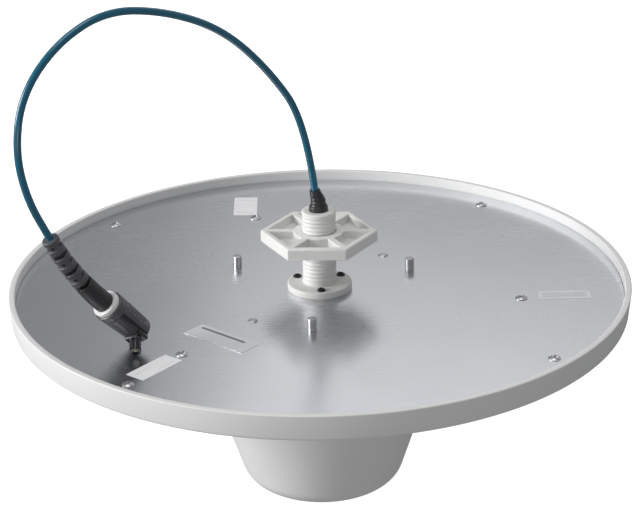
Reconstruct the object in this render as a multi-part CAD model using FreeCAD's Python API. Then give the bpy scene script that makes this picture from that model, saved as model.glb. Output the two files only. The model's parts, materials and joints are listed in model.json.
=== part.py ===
"""In-building omnidirectional antenna for a ceiling, as separate pieces.

Millimetres, +Z up.  The origin is on the stud's axis, in the plane of the rim's
top face, which is the face that meets the ceiling.  Below it hang the disc and
the dome of the radome; above it stand the threaded stud, the clamping nut and
the coaxial pigtail with its plug.
"""
import FreeCAD, Part
import math
import os

os.makedirs("parts", exist_ok=True)
V = FreeCAD.Vector
UP = V(0, 0, 1)

# ---- radome: a shallow disc with a tapered dome under it -------------------
rim_radius = 150.0          # outside of the rim at the ceiling face
rim_draft = 1.2             # the rim is this much smaller at its underside
rim_edge_radius = 2.0       # rounding between the rim wall and the underside
lip_width = 3.2             # flat top of the rim
disc_depth = 12.75          # ceiling face to the underside of the disc
shell_wall = 2.5
dome_depth = 111.0          # ceiling face to the lowest point of the dome
dome_mouth_radius = 67.6    # where the dome's side meets the disc's underside
dome_taper = 18.0           # degrees from the axis
dome_root_radius = 8.0      # hollow fillet between disc and dome
dome_corner_radius = 13.0   # from the dome's side to its crown
dome_crown_radius = 100.0
ledge_width = 3.5           # step that carries the edge of the ground plate
boss_radius = 4.0

# ---- ground plate ----------------------------------------------------------
plate_drop = 5.1            # ceiling face to the top of the plate
plate_thickness = 1.5
plate_edge_gap = 0.3
hole_clearance = 0.2        # every screw, rivet and stud hole, on the radius
overshoot = 1.0             # cutters run this far past what they cut

# ---- screws and rivets on the plate ---------------------------------------
rim_screw_inset = 14.2      # rim screws, measured in from the outside of the rim
rim_screw_count = 4
rim_screw_angle = 50.8
inner_screw_inset = 52.2    # the three inner screws, measured the same way
inner_screw_count = 3
inner_screw_angle = -10.4
screw_shank_radius = 1.4
screw_head_radius = 2.9
screw_head_height = 1.1
pilot_clearance = 0.05
shell_under_pilot = 0.9     # plastic left below a pilot hole
pilot_spare = 0.3           # free depth below a screw's end
boss_sink = 0.5             # the bosses start this far inside the shell's wall
cradle_rivet_circle = 50.0
cradle_rivet_angle = 50.5
rivet_shank_radius = 1.6
rivet_head_radius = 2.6
rivet_head_height = 0.8

# ---- anti-rotation studs ---------------------------------------------------
locating_circle = 49.3
locating_count = 3
locating_angle = 25.5
locating_radius = 2.1
locating_shank_radius = 1.8  # through the plate, under the stud's shoulder
locating_chamfer = 0.4
locating_above_rim = 0.6    # how far they stand past the ceiling face
locating_head_radius = 3.4
locating_head_height = 1.2

# ---- threaded hollow stud --------------------------------------------------
stud_radius = 8.2
stud_height = 35.2          # ceiling face to the stud's end
stud_chamfer = 0.6
flange_radius = 15.6
flange_thickness = 3.5
flange_edge_radius = 0.8
flange_screw_circle = 12.2
flange_screw_count = 3
flange_screw_angle = 33.0
flange_screw_radius = 1.25
flange_head_radius = 2.1
flange_head_height = 1.3
backing_radius = 17.0
backing_bore = 8.0
backing_thickness = 2.5

# ---- clamping nut and its washer ------------------------------------------
nut_across_flats = 49.0
nut_thickness = 6.0
nut_underside = 18.9        # above the ceiling face, as it is stored
nut_turn = -2.5             # degrees, as it is stored
nut_chamfer = 0.5
nut_rim_width = 2.6
nut_hub_radius = 12.2
nut_rib_width = 3.2
nut_pocket_depth = 4.2
thread_clearance = 0.05     # stud to nut, on the radius
washer_radius = 12.0
washer_thickness = 1.2
washer_gap = 0.05           # washer to nut, and washer to stud on the radius

# ---- coaxial cable ---------------------------------------------------------
cable_diameter = 3.5
cable_clearance = 0.25      # stud bore and ferrule round the cable
cable_plane_angle = 217.0   # the pigtail stands in one upright plane
# Route in that plane: distance out from the stud's axis, height above the rim.
cable_route = [
    (2, 46), (7, 82), (28, 112), (53, 136), (83, 150), (113, 156),
    (139, 146), (157, 127), (162, 103), (158, 80), (148, 59),
]
arc_share = 0.45            # each bend takes this share of its shorter run

# ---- strain relief in the top of the stud ---------------------------------
post_boot_plug_depth = 6.0
post_boot_plug_radius = 4.6
post_boot_gap = 0.05
post_boot_tip_radius = 2.5
post_boot_collar_share = 0.97   # the collar narrows a little as it leaves the stud
post_boot_collar = 2.0      # straight stretch that stands out of the stud

# ---- plug ------------------------------------------------------------------
boot_length = 46.4
boot_turn = 17.74           # degrees that the boot bends through
boot_cable_radius = 3.9
boot_plug_radius = 4.9
boot_stations = 7           # sections that its loft passes through
ring_length = 4.0
ring_radius = 6.5
plug_length = 18.6          # ring to the elbow's centre
plug_top_radius = 7.4
plug_low_radius = 6.3
plug_tail = 4.0             # past the elbow's centre
plug_edge_radius = 1.2
plug_roll = 47.5            # degrees that the plug is rolled about its own axis
neck_radius = 2.75
neck_end = 7.9              # from the elbow's centre along the spigot
barrel_radius = 2.2
barrel_bore = 1.5
barrel_floor = 1.0          # closed end of the bore, from the elbow's centre
barrel_end = 14.5
barrel_lip = 0.7
barrel_lip_radius = 2.6
sleeve_radius = 2.75
sleeve_clearance = 0.05
sleeve_end_gap = 0.15
contact_radius = 0.45
contact_recess = 0.6
insulator_recess = 1.2

# ---- feed and radiator inside the dome ------------------------------------
ferrule_flange_radius = 6.6
ferrule_flange_height = 1.2
ferrule_barrel_radius = 4.2
ferrule_skirt_radius = 3.2
ferrule_skirt_height = 3.0
bead_height = 2.5
feed_pin_radius = 0.7
feed_hub_radius = 3.0
feed_hub_height = 2.0
feed_thread_radius = 1.5
feed_thread_length = 5.0
feed_nut_flats = 5.5
feed_nut_height = 2.4
cone_wall = 1.2
cone_apex_radius = 4.0
cone_waist = (20.0, 24.0)   # radius, and depth below the apex, on the bell curve
cone_height = 55.5
cone_radius = 34.0
cone_lip_width = 6.0
cone_shoulder_inset = 0.5   # the wall's inside at the apex
cone_skirt_slope = 1.3      # the wall measured level at the mouth, in wall thicknesses
cone_waist_drop = 0.6       # the wall's inside passes this much lower at the waist
cap_thickness = 1.5
cap_screw_circle = 31.0
cap_screw_count = 3
cap_screw_radius = 1.25
cap_screw_head_radius = 2.3
cap_screw_head_height = 1.6
cap_screw_angle = 110.0
cradle_ring_bore = 29.0
cradle_ring_height = 3.0
cradle_clearance = 0.6
cradle_leg_thickness = 2.9
cradle_leg_width = 10.0
cradle_foot_height = 3.0
cradle_foot_reach = 4.5     # past the rivet's centre

# ---- labels ----------------------------------------------------------------
label_thickness = 0.12
# Inset from the plate's edge, angle, length, width and turn.
edge_labels = {
    "approval_label": (30.7, 109.4, 12.2, 25.3, 0.0),
    "serial_label": (31.0, 229.4, 26.0, 10.5, 51.0),
    "port_label": (28.5, -7.0, 25.0, 9.5, 0.0),
}
# The rating label lies midway between the inner screws and the cradle's rivets.
rating_label = (231.6, 36.0, 12.5, -41.0)

# ---- places that follow from the sizes above ------------------------------
plate_top = -plate_drop
plate_bottom = plate_top - plate_thickness
plate_radius = rim_radius - lip_width - plate_edge_gap
disc_floor = shell_wall - disc_depth
rim_screw_circle = rim_radius - rim_screw_inset
inner_screw_circle = rim_radius - inner_screw_inset
rating_label_radius = (inner_screw_circle + cradle_rivet_circle) / 2
flange_top = plate_top + flange_thickness
cable_radius = cable_diameter / 2
cable_bore = cable_radius + cable_clearance
ferrule_bottom = plate_bottom - ferrule_flange_height - ferrule_skirt_height
feed_hub_top = ferrule_bottom - bead_height
cone_top = feed_hub_top - feed_hub_height
cone_bottom = cone_top - cone_height
cap_bottom = cone_bottom - cap_thickness
cradle_bottom = cap_bottom - cradle_ring_height
cradle_inner = cone_radius + cradle_clearance
cradle_outer = cradle_inner + cradle_leg_thickness


def polar(radius, degrees, z=0.0):
    a = math.radians(degrees)
    return V(radius * math.cos(a), radius * math.sin(a), z)


def around(count, first):
    return [first + 360.0 * i / count for i in range(count)]


def cylinder(radius, low, high, centre=V(0, 0, 0)):
    return Part.makeCylinder(radius, high - low, V(centre.x, centre.y, low), UP)


def tube(outer, inner, low, high, centre=V(0, 0, 0)):
    return cylinder(outer, low, high, centre).cut(cylinder(inner, low, high, centre))


def line(a, b):
    return Part.LineSegment(a, b).toShape()


def arc(centre, start, end):
    """The short arc about centre from start to end."""
    middle = (start - centre) + (end - centre)
    middle.normalize()
    through = centre + middle * (start - centre).Length
    return Part.Arc(start, through, end).toShape()


def spun(edges):
    """A closed outline in the XZ plane, turned about the Z axis."""
    return Part.Face(Part.Wire(edges)).revolve(V(0, 0, 0), UP, 360)


def polygon_prism(flats, low, height, turn, sides=6):
    corner = flats / 2 / math.cos(math.pi / sides)
    points = [polar(corner, turn + 360.0 * i / sides, low) for i in range(sides)]
    outline = Part.makePolygon(points + [points[0]])
    return Part.Face(outline).extrude(V(0, 0, height))


def save(name, shape):
    solids = shape if isinstance(shape, list) else [shape]
    for solid in solids:
        if not solid.isValid() or len(solid.Solids) != 1:
            raise ValueError(name + " is not one sound solid")
    whole = solids[0] if len(solids) == 1 else Part.makeCompound(solids)
    whole.exportStep("parts/" + name + ".step")


# ---- radome ---------------------------------------------------------------
def dome_outline(inset):
    """Edges of the dome's side, corner and crown, from the disc's flat down to
    the axis, set in from the outside by inset."""
    taper = math.radians(dome_taper)
    along = V(-math.sin(taper), 0, -math.cos(taper))
    outward = V(math.cos(taper), 0, -math.sin(taper))
    mouth = V(dome_mouth_radius, 0, -disc_depth)
    root = dome_root_radius
    step = root * (1 - math.sin(taper)) / math.cos(taper)
    root_centre = mouth + along * step + outward * root
    flat_end = root_centre + UP * (root + inset)
    side_start = root_centre - outward * (root + inset)
    crown_centre = V(0, 0, dome_crown_radius - dome_depth)
    base = mouth - outward * dome_corner_radius
    offset = base - crown_centre
    reach = dome_crown_radius - dome_corner_radius
    half = offset.dot(along)
    slide = -half + math.sqrt(half * half - offset.dot(offset) + reach * reach)
    corner_centre = base + along * slide
    side_end = corner_centre + outward * (dome_corner_radius - inset)
    towards = corner_centre - crown_centre
    towards.normalize()
    crown_start = crown_centre + towards * (dome_crown_radius - inset)
    bottom = crown_centre - UP * (dome_crown_radius - inset)
    edges = [
        arc(root_centre, flat_end, side_start),
        line(side_start, side_end),
        arc(corner_centre, side_end, crown_start),
        arc(crown_centre, crown_start, bottom),
    ]
    return edges, flat_end, bottom


def radome():
    edge = rim_edge_radius
    low_radius = rim_radius - rim_draft
    wall_low = V(low_radius, 0, edge - disc_depth)
    flat_start = V(low_radius - edge, 0, -disc_depth)
    outside, flat_end, bottom = dome_outline(0)
    inside, floor_end, inner_bottom = dome_outline(shell_wall)
    bore = rim_radius - lip_width
    ledge = bore - ledge_width
    corners = [
        floor_end, V(ledge, 0, disc_floor), V(ledge, 0, plate_bottom),
        V(bore, 0, plate_bottom), V(bore, 0, 0), V(rim_radius, 0, 0), wall_low,
    ]
    edges = [line(a, b) for a, b in zip(corners, corners[1:])]
    edges.append(arc(V(low_radius - edge, 0, edge - disc_depth), wall_low, flat_start))
    edges.append(line(flat_start, flat_end))
    edges += outside + [line(bottom, inner_bottom)] + inside
    shell = spun(Part.sortEdges(edges)[0])
    pilot = screw_shank_radius + pilot_clearance
    for place in rim_screw_places() + inner_screw_places():
        boss = cylinder(boss_radius, disc_floor - boss_sink, plate_bottom, place)
        shell = shell.fuse(boss)
        shell = shell.cut(cylinder(pilot, shell_under_pilot - disc_depth, plate_bottom, place))
    return shell.removeSplitter()


def rim_screw_places():
    return [polar(rim_screw_circle, a) for a in around(rim_screw_count, rim_screw_angle)]


def inner_screw_places():
    angles = around(inner_screw_count, inner_screw_angle)
    return [polar(inner_screw_circle, a) for a in angles]


def cradle_rivet_places():
    return [polar(cradle_rivet_circle, a) for a in around(2, cradle_rivet_angle)]


def locating_places():
    return [polar(locating_circle, a) for a in around(locating_count, locating_angle)]


def flange_screw_places():
    angles = around(flange_screw_count, flange_screw_angle)
    return [polar(flange_screw_circle, a) for a in angles]


# ---- ground plate and what is fixed to it ---------------------------------
def ground_plate():
    plate = cylinder(plate_radius, plate_bottom, plate_top)
    holes = [(V(0, 0, 0), ferrule_barrel_radius)]
    holes += [(p, screw_shank_radius) for p in rim_screw_places() + inner_screw_places()]
    holes += [(p, rivet_shank_radius) for p in cradle_rivet_places()]
    holes += [(p, locating_shank_radius) for p in locating_places()]
    holes += [(p, flange_screw_radius) for p in flange_screw_places()]
    for place, radius in holes:
        cut = cylinder(radius + hole_clearance, plate_bottom, plate_top, place)
        plate = plate.cut(cut)
    return plate


def headed(place, seat, head_radius, head_height, shank_radius, shank_end):
    """A screw or rivet whose domed head sits on seat and points up."""
    shank = cylinder(shank_radius, shank_end, seat, place)
    rise = head_height
    ball = (head_radius ** 2 + rise ** 2) / (2 * rise)
    head = Part.makeSphere(ball, V(place.x, place.y, seat + rise - ball))
    head = head.common(cylinder(head_radius, seat, seat + rise, place))
    return head.fuse(shank).removeSplitter()


def plate_screws(places):
    end = shell_under_pilot - disc_depth + pilot_spare
    return [headed(p, plate_top, screw_head_radius, screw_head_height,
                   screw_shank_radius, end) for p in places]


def cradle_rivets():
    low = plate_bottom - cradle_foot_height
    rivets = []
    for place in cradle_rivet_places():
        rivet = headed(place, plate_top, rivet_head_radius, rivet_head_height,
                       rivet_shank_radius, low)
        tail = cylinder(rivet_head_radius, low - rivet_head_height, low, place)
        rivets.append(rivet.fuse(tail).removeSplitter())
    return rivets


def locating_studs():
    """Headed pins whose shoulders stand on the plate."""
    studs = []
    for place in locating_places():
        pin = cylinder(locating_radius, plate_top, locating_above_rim, place)
        top = max(pin.Edges, key=lambda edge: edge.BoundBox.ZMin)
        pin = pin.makeChamfer(locating_chamfer, [top])
        shank = cylinder(locating_shank_radius, plate_bottom, plate_top, place)
        head = cylinder(locating_head_radius, plate_bottom - locating_head_height,
                        plate_bottom, place)
        studs.append(pin.fuse(shank).fuse(head).removeSplitter())
    return studs


def mounting_stud():
    """Round flange and hollow stud in one moulding, plain at the thread's outside
    diameter."""
    edge = flange_edge_radius
    bore_end = stud_height - post_boot_plug_depth
    corners = [
        V(stud_radius, 0, flange_top), V(stud_radius, 0, stud_height - stud_chamfer),
        V(stud_radius - stud_chamfer, 0, stud_height),
        V(post_boot_plug_radius, 0, stud_height), V(post_boot_plug_radius, 0, bore_end),
        V(cable_bore, 0, bore_end), V(cable_bore, 0, plate_top),
        V(flange_radius, 0, plate_top), V(flange_radius, 0, flange_top - edge),
    ]
    edges = [line(a, b) for a, b in zip(corners, corners[1:])]
    turn = V(flange_radius - edge, 0, flange_top - edge)
    edges.append(arc(turn, corners[-1], turn + UP * edge))
    edges.append(line(turn + UP * edge, corners[0]))
    body = spun(edges)
    for place in flange_screw_places():
        hole = cylinder(flange_screw_radius + hole_clearance, plate_top, flange_top, place)
        body = body.cut(hole)
    return body


def backing_plate():
    low = plate_bottom - backing_thickness
    ring = tube(backing_radius, backing_bore, low, plate_bottom)
    for place in flange_screw_places():
        hole = cylinder(flange_screw_radius + pilot_clearance, low, plate_bottom, place)
        ring = ring.cut(hole)
    return ring


def flange_screws():
    low = plate_bottom - backing_thickness
    return [headed(p, flange_top, flange_head_radius, flange_head_height,
                   flange_screw_radius, low) for p in flange_screw_places()]


# ---- clamping nut ---------------------------------------------------------
def clamp_nut():
    top = nut_underside + nut_thickness
    nut = polygon_prism(nut_across_flats, nut_underside, nut_thickness, nut_turn)
    nut = nut.makeChamfer(nut_chamfer, nut.Edges)
    floor = top - nut_pocket_depth
    pocket = polygon_prism(nut_across_flats - 2 * nut_rim_width, floor,
                           nut_pocket_depth + overshoot, nut_turn)
    pocket = pocket.cut(cylinder(nut_hub_radius, floor, top + overshoot))
    for angle in around(3, nut_turn):
        rib = Part.makeBox(2 * nut_across_flats, nut_rib_width, nut_pocket_depth + overshoot,
                           V(-nut_across_flats, -nut_rib_width / 2, floor))
        rib.rotate(V(0, 0, 0), UP, angle)
        pocket = pocket.cut(rib)
    nut = nut.cut(pocket)
    bore = cylinder(stud_radius + thread_clearance, nut_underside - overshoot, top + overshoot)
    return nut.cut(bore)


def nut_washer():
    high = nut_underside - washer_gap
    return tube(washer_radius, stud_radius + washer_gap, high - washer_thickness, high)


# ---- cable ----------------------------------------------------------------
OUT = polar(1.0, cable_plane_angle)
ACROSS = UP.cross(OUT)


def in_plane(out, height):
    return OUT * out + UP * height


def cable_path(points, share):
    """Straight runs joined by arcs that touch both runs."""
    edges, radii = [], []
    here = points[0]
    for before, corner, after in zip(points, points[1:], points[2:]):
        shorter = min((corner - before).Length, (after - corner).Length)
        back = (before - corner).normalize()
        ahead = (after - corner).normalize()
        half_turn = (math.pi - back.getAngle(ahead)) / 2
        cut = share * shorter
        radius = cut / math.tan(half_turn)
        start = corner + back * cut
        end = corner + ahead * cut
        middle = (back + ahead).normalize()
        centre = corner + middle * math.hypot(cut, radius)
        edges.append(line(here, start))
        edges.append(arc(centre, start, end))
        radii.append(radius)
        here = end
    edges.append(line(here, points[-1]))
    return Part.Wire(edges), radii


def pigtail_cable():
    points = [in_plane(out, height) for out, height in cable_route]
    path, radii = cable_path(points, arc_share)
    start = (points[1] - points[0]).normalize()
    section = Part.Wire(Part.makeCircle(cable_radius, points[0], start))
    body = path.makePipeShell([section], True, False)
    expected = math.pi * cable_radius ** 2 * path.Length
    print("cable radii", [round(r, 1) for r in radii], "length", round(path.Length, 1))
    print("cable volume share", round(body.Volume / expected, 4))
    return body


def cable_tail():
    return cylinder(cable_radius, ferrule_bottom, stud_height - post_boot_plug_depth)


def lofted(stations):
    """A smooth round body through (centre, direction, radius) stations."""
    rings = [Part.Wire(Part.makeCircle(r, c, d)) for c, d, r in stations]
    return Part.makeLoft(rings, True)


def post_boot():
    """Plug in the stud's end, then a taper that leans with the cable."""
    first = in_plane(*cable_route[0])
    exit_direction = in_plane(*cable_route[1]) - first
    exit_direction.normalize()
    top = stud_height
    snug = post_boot_plug_radius - post_boot_gap
    plug = cylinder(snug, top - post_boot_plug_depth, top)
    collar = UP * (top + post_boot_collar)
    middle = (collar + first) * 0.5
    lean = (UP + exit_direction).normalize()
    mean = (snug + post_boot_tip_radius) / 2
    taper = lofted([(UP * top, UP, snug), (collar, UP, snug * post_boot_collar_share),
                    (middle, lean, mean), (first, exit_direction, post_boot_tip_radius)])
    return plug.fuse(taper).removeSplitter()


# ---- plug at the cable's end ----------------------------------------------
def tilt(degrees):
    a = math.radians(degrees)
    return in_plane(math.cos(a), math.sin(a))


last_run = V(cable_route[-2][0] - cable_route[-1][0], cable_route[-2][1] - cable_route[-1][1], 0)
boot_top_tilt = math.degrees(math.atan2(last_run.y, last_run.x))
plug_tilt = boot_top_tilt - boot_turn
boot_bend = boot_length / math.radians(boot_turn)


def boot_point(tilt_now):
    """Centre line of the boot, bent along an arc from the cable to the ring."""
    a, b = math.radians(boot_top_tilt), math.radians(tilt_now)
    out = boot_bend * (math.sin(a) - math.sin(b))
    down = boot_bend * (math.cos(b) - math.cos(a))
    return in_plane(cable_route[-1][0] - out, cable_route[-1][1] - down)


def connector_boot():
    stations = []
    for i in range(boot_stations):
        share = i / (boot_stations - 1)
        tilt_now = boot_top_tilt - boot_turn * share
        radius = boot_cable_radius + (boot_plug_radius - boot_cable_radius) * share
        stations.append((boot_point(tilt_now), tilt(tilt_now), radius))
    return lofted(stations)


def plug_frame():
    """From the plug's own frame, with Z back to the cable and X along the
    spigot, to the antenna's frame."""
    axis_z = tilt(plug_tilt)
    down = tilt(plug_tilt - 90)
    roll = math.radians(plug_roll)
    axis_x = down * math.cos(roll) + ACROSS * math.sin(roll)
    axis_y = axis_z.cross(axis_x)
    elbow = boot_point(plug_tilt) - axis_z * (ring_length + plug_length)
    return FreeCAD.Matrix(axis_x.x, axis_y.x, axis_z.x, elbow.x,
                          axis_x.y, axis_y.y, axis_z.y, elbow.y,
                          axis_x.z, axis_y.z, axis_z.z, elbow.z,
                          0, 0, 0, 1)


def along_spigot(radius, start, end):
    return Part.makeCylinder(radius, end - start, V(start, 0, 0), V(1, 0, 0))


def connector_body():
    edge = plug_edge_radius
    low = V(plug_low_radius, 0, edge - plug_tail)
    turn = V(plug_low_radius - edge, 0, edge - plug_tail)
    corners = [V(0, 0, -plug_tail), V(0, 0, plug_length),
               V(plug_top_radius - edge, 0, plug_length)]
    edges = [line(a, b) for a, b in zip(corners, corners[1:])]
    rim = V(plug_top_radius - edge, 0, plug_length - edge)
    edges.append(arc(rim, corners[-1], V(plug_top_radius, 0, plug_length - edge)))
    edges.append(line(V(plug_top_radius, 0, plug_length - edge), low))
    edges.append(arc(turn, low, turn - UP * edge))
    edges.append(line(turn - UP * edge, corners[0]))
    body = spun(edges).fuse(along_spigot(neck_radius, 0, neck_end))
    return body.cut(along_spigot(barrel_radius, 0, neck_end)).removeSplitter()


def connector_barrel():
    barrel = along_spigot(barrel_radius, 0, barrel_end)
    lip = along_spigot(barrel_lip_radius, barrel_end - barrel_lip, barrel_end)
    bore = along_spigot(barrel_bore, barrel_floor, barrel_end)
    return barrel.fuse(lip).cut(bore).removeSplitter()


def coupling_sleeve():
    start = neck_end + sleeve_end_gap
    end = barrel_end - barrel_lip - sleeve_end_gap
    inner = along_spigot(barrel_radius + sleeve_clearance, start, end)
    return along_spigot(sleeve_radius, start, end).cut(inner)


def contact_insulator():
    end = barrel_end - insulator_recess
    bead = along_spigot(barrel_bore, barrel_floor, end)
    return bead.cut(along_spigot(contact_radius, barrel_floor, end))


def centre_contact():
    return along_spigot(contact_radius, barrel_floor, barrel_end - contact_recess)


# ---- feed and radiator ----------------------------------------------------
def feed_ferrule():
    flange_low = plate_bottom - ferrule_flange_height
    body = cylinder(ferrule_barrel_radius, plate_bottom, plate_top)
    body = body.fuse(cylinder(ferrule_flange_radius, flange_low, plate_bottom))
    body = body.fuse(cylinder(ferrule_skirt_radius, ferrule_bottom, flange_low))
    bore = cylinder(cable_radius + pilot_clearance, ferrule_bottom, plate_top)
    return body.cut(bore).removeSplitter()


def feed_bead():
    return tube(ferrule_skirt_radius, feed_pin_radius, feed_hub_top, ferrule_bottom)


def feed_pin():
    pin = cylinder(feed_pin_radius, feed_hub_top, ferrule_bottom)
    pin = pin.fuse(cylinder(feed_hub_radius, cone_top, feed_hub_top))
    thread = cylinder(feed_thread_radius, cone_top - feed_thread_length, cone_top)
    return pin.fuse(thread).removeSplitter()


def feed_nut():
    top = cone_top - cone_wall
    nut = polygon_prism(feed_nut_flats, top - feed_nut_height, feed_nut_height, 0)
    return nut.cut(cylinder(feed_thread_radius + pilot_clearance, top - feed_nut_height, top))


def radiator_cone():
    """Spun aluminium bell with its small end up and a lip turned in below."""
    waist_radius, waist_depth = cone_waist
    lip_top = cone_bottom + cone_wall
    thread = feed_thread_radius + pilot_clearance
    mouth = cone_radius - cone_skirt_slope * cone_wall
    outer = Part.Arc(V(cone_apex_radius, 0, cone_top),
                     V(waist_radius, 0, cone_top - waist_depth),
                     V(cone_radius, 0, cone_bottom)).toShape()
    inner = Part.Arc(V(cone_apex_radius - cone_shoulder_inset, 0, cone_top - cone_wall),
                     V(waist_radius - cone_wall, 0,
                       cone_top - waist_depth - cone_waist_drop),
                     V(mouth, 0, lip_top)).toShape()
    lip = cone_radius - cone_lip_width
    edges = [
        line(V(thread, 0, cone_top), V(cone_apex_radius, 0, cone_top)), outer,
        line(V(cone_radius, 0, cone_bottom), V(lip, 0, cone_bottom)),
        line(V(lip, 0, cone_bottom), V(lip, 0, lip_top)),
        line(V(lip, 0, lip_top), V(mouth, 0, lip_top)), inner,
        line(V(cone_apex_radius - cone_shoulder_inset, 0, cone_top - cone_wall),
             V(thread, 0, cone_top - cone_wall)),
        line(V(thread, 0, cone_top - cone_wall), V(thread, 0, cone_top)),
    ]
    return with_cap_holes(spun(Part.sortEdges(edges)[0]))


def cap_screw_places():
    return [polar(cap_screw_circle, a) for a in around(cap_screw_count, cap_screw_angle)]


def with_cap_holes(shape):
    for place in cap_screw_places():
        hole = cylinder(cap_screw_radius + pilot_clearance, cradle_bottom - overshoot,
                        cone_bottom + 2 * cone_wall, place)
        shape = shape.cut(hole)
    return shape


def radiator_cap():
    return with_cap_holes(cylinder(cone_radius, cap_bottom, cone_bottom))


def radiator_cradle():
    """Insulating ring under the cap, hung from the plate on two flat legs."""
    cradle = tube(cradle_outer, cradle_ring_bore, cradle_bottom, cap_bottom)
    foot_low = plate_bottom - cradle_foot_height
    foot_end = cradle_rivet_circle + cradle_foot_reach
    for angle, place in zip(around(2, cradle_rivet_angle), cradle_rivet_places()):
        leg = Part.makeBox(cradle_leg_thickness, cradle_leg_width, plate_bottom - cradle_bottom,
                           V(cradle_inner, -cradle_leg_width / 2, cradle_bottom))
        foot = Part.makeBox(foot_end - cradle_inner, cradle_leg_width, cradle_foot_height,
                            V(cradle_inner, -cradle_leg_width / 2, foot_low))
        limb = leg.fuse(foot)
        limb.rotate(V(0, 0, 0), UP, angle)
        limb = limb.cut(cylinder(rivet_shank_radius + pilot_clearance, foot_low,
                                 plate_bottom, place))
        cradle = cradle.fuse(limb)
    return with_cap_holes(cradle.removeSplitter())


def cap_screws():
    screws = []
    for place in cap_screw_places():
        shank = cylinder(cap_screw_radius, cradle_bottom, cone_bottom + cone_wall, place)
        head = cylinder(cap_screw_head_radius, cradle_bottom - cap_screw_head_height,
                        cradle_bottom, place)
        screws.append(shank.fuse(head).removeSplitter())
    return screws


# ---- labels ---------------------------------------------------------------
def label(radius, angle, length, width, turn):
    patch = Part.makeBox(length, width, label_thickness, V(-length / 2, -width / 2, 0))
    patch.rotate(V(0, 0, 0), UP, turn)
    patch.translate(polar(radius, angle, plate_top))
    return patch


save("radome", radome())
save("ground_plate", ground_plate())
save("rim_screws", plate_screws(rim_screw_places()))
save("inner_screws", plate_screws(inner_screw_places()))
save("locating_studs", locating_studs())
save("mounting_stud", mounting_stud())
save("flange_screws", flange_screws())
save("backing_plate", backing_plate())
save("clamp_nut", clamp_nut())
save("nut_washer", nut_washer())
save("post_boot", post_boot())
save("pigtail_cable", pigtail_cable())
save("cable_tail", cable_tail())
save("connector_boot", connector_boot())
plug_pieces = {
    "connector_ring": cylinder(ring_radius, plug_length, plug_length + ring_length),
    "connector_body": connector_body(),
    "connector_barrel": connector_barrel(),
    "coupling_sleeve": coupling_sleeve(),
    "contact_insulator": contact_insulator(),
    "centre_contact": centre_contact(),
}
for name, shape in plug_pieces.items():
    save(name, shape.transformed(plug_frame(), True))
save("feed_ferrule", feed_ferrule())
save("feed_bead", feed_bead())
save("feed_pin", feed_pin())
save("feed_nut", feed_nut())
save("radiator_cone", radiator_cone())
save("radiator_cap", radiator_cap())
save("radiator_cradle", radiator_cradle())
save("cradle_rivets", cradle_rivets())
save("cap_screws", cap_screws())
for name, (inset, *rest) in edge_labels.items():
    save(name, label(plate_radius - inset, *rest))
save("rating_label", label(rating_label_radius, *rating_label))
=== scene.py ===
"""Looks of the in-building omnidirectional antenna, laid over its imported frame.

Metres, in the frame's own axes: the origin is on the stud's axis in the plane of
the rim's top face, +Z points up along the stud and -Y towards the viewer.
"""

import json
import math

import bmesh
import bpy
from mathutils import Matrix, Vector


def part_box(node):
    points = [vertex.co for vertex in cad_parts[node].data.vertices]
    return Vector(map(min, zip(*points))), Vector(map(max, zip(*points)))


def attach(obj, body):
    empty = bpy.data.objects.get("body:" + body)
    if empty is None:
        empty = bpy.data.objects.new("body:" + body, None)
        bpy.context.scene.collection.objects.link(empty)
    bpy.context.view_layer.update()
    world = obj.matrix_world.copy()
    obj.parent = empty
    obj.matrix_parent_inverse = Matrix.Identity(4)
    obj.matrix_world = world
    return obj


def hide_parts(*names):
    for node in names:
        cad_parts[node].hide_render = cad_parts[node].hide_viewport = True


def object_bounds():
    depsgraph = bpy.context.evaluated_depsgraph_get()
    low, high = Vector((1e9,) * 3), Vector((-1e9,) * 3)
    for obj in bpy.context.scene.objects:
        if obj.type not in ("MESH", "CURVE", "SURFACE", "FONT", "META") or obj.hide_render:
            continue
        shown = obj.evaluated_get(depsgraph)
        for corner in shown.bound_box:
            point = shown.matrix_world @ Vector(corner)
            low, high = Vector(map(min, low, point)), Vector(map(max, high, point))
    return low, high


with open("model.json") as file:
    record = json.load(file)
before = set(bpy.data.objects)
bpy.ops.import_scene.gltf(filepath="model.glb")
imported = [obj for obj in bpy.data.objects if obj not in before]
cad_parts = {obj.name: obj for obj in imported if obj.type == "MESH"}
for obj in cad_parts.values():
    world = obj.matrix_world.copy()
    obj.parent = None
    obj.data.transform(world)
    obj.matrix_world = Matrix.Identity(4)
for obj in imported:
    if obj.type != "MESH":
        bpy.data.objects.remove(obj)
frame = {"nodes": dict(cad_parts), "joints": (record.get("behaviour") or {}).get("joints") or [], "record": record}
cad_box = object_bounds()
nodes = frame["nodes"]
joints = {joint["name"]: joint for joint in frame["joints"]}
slots = {part["node"]: part["material_slot"] for part in frame["record"]["subparts"]}

MM = 0.001
UP = Vector((0, 0, 1))

# ---- camera -----------------------------------------------------------------
view_distance = 1.125
view_elevation = 23.17      # degrees above the rim's plane
view_roll = -1.02
view_sensor = 36            # millimetres, as the lens is
view_lens = 130.7
view_shift = (0.0004, 0.0352)

# ---- pigtail: route in its upright plane, (out, height) in millimetres -------
pigtail_angle = 217.0
pigtail_diameter = 3.5 * MM
pigtail_route = [
    (2, 46), (7, 82), (28, 112), (53, 136), (83, 150), (113, 156),
    (139, 146), (157, 127), (162, 103), (158, 80), (148, 59),
]
pigtail_end = (144.4, 51.9)     # it runs on this far inside the plug's strain relief
OUT = Vector((math.cos(math.radians(pigtail_angle)), math.sin(math.radians(pigtail_angle)), 0))
ACROSS = UP.cross(OUT)

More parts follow.
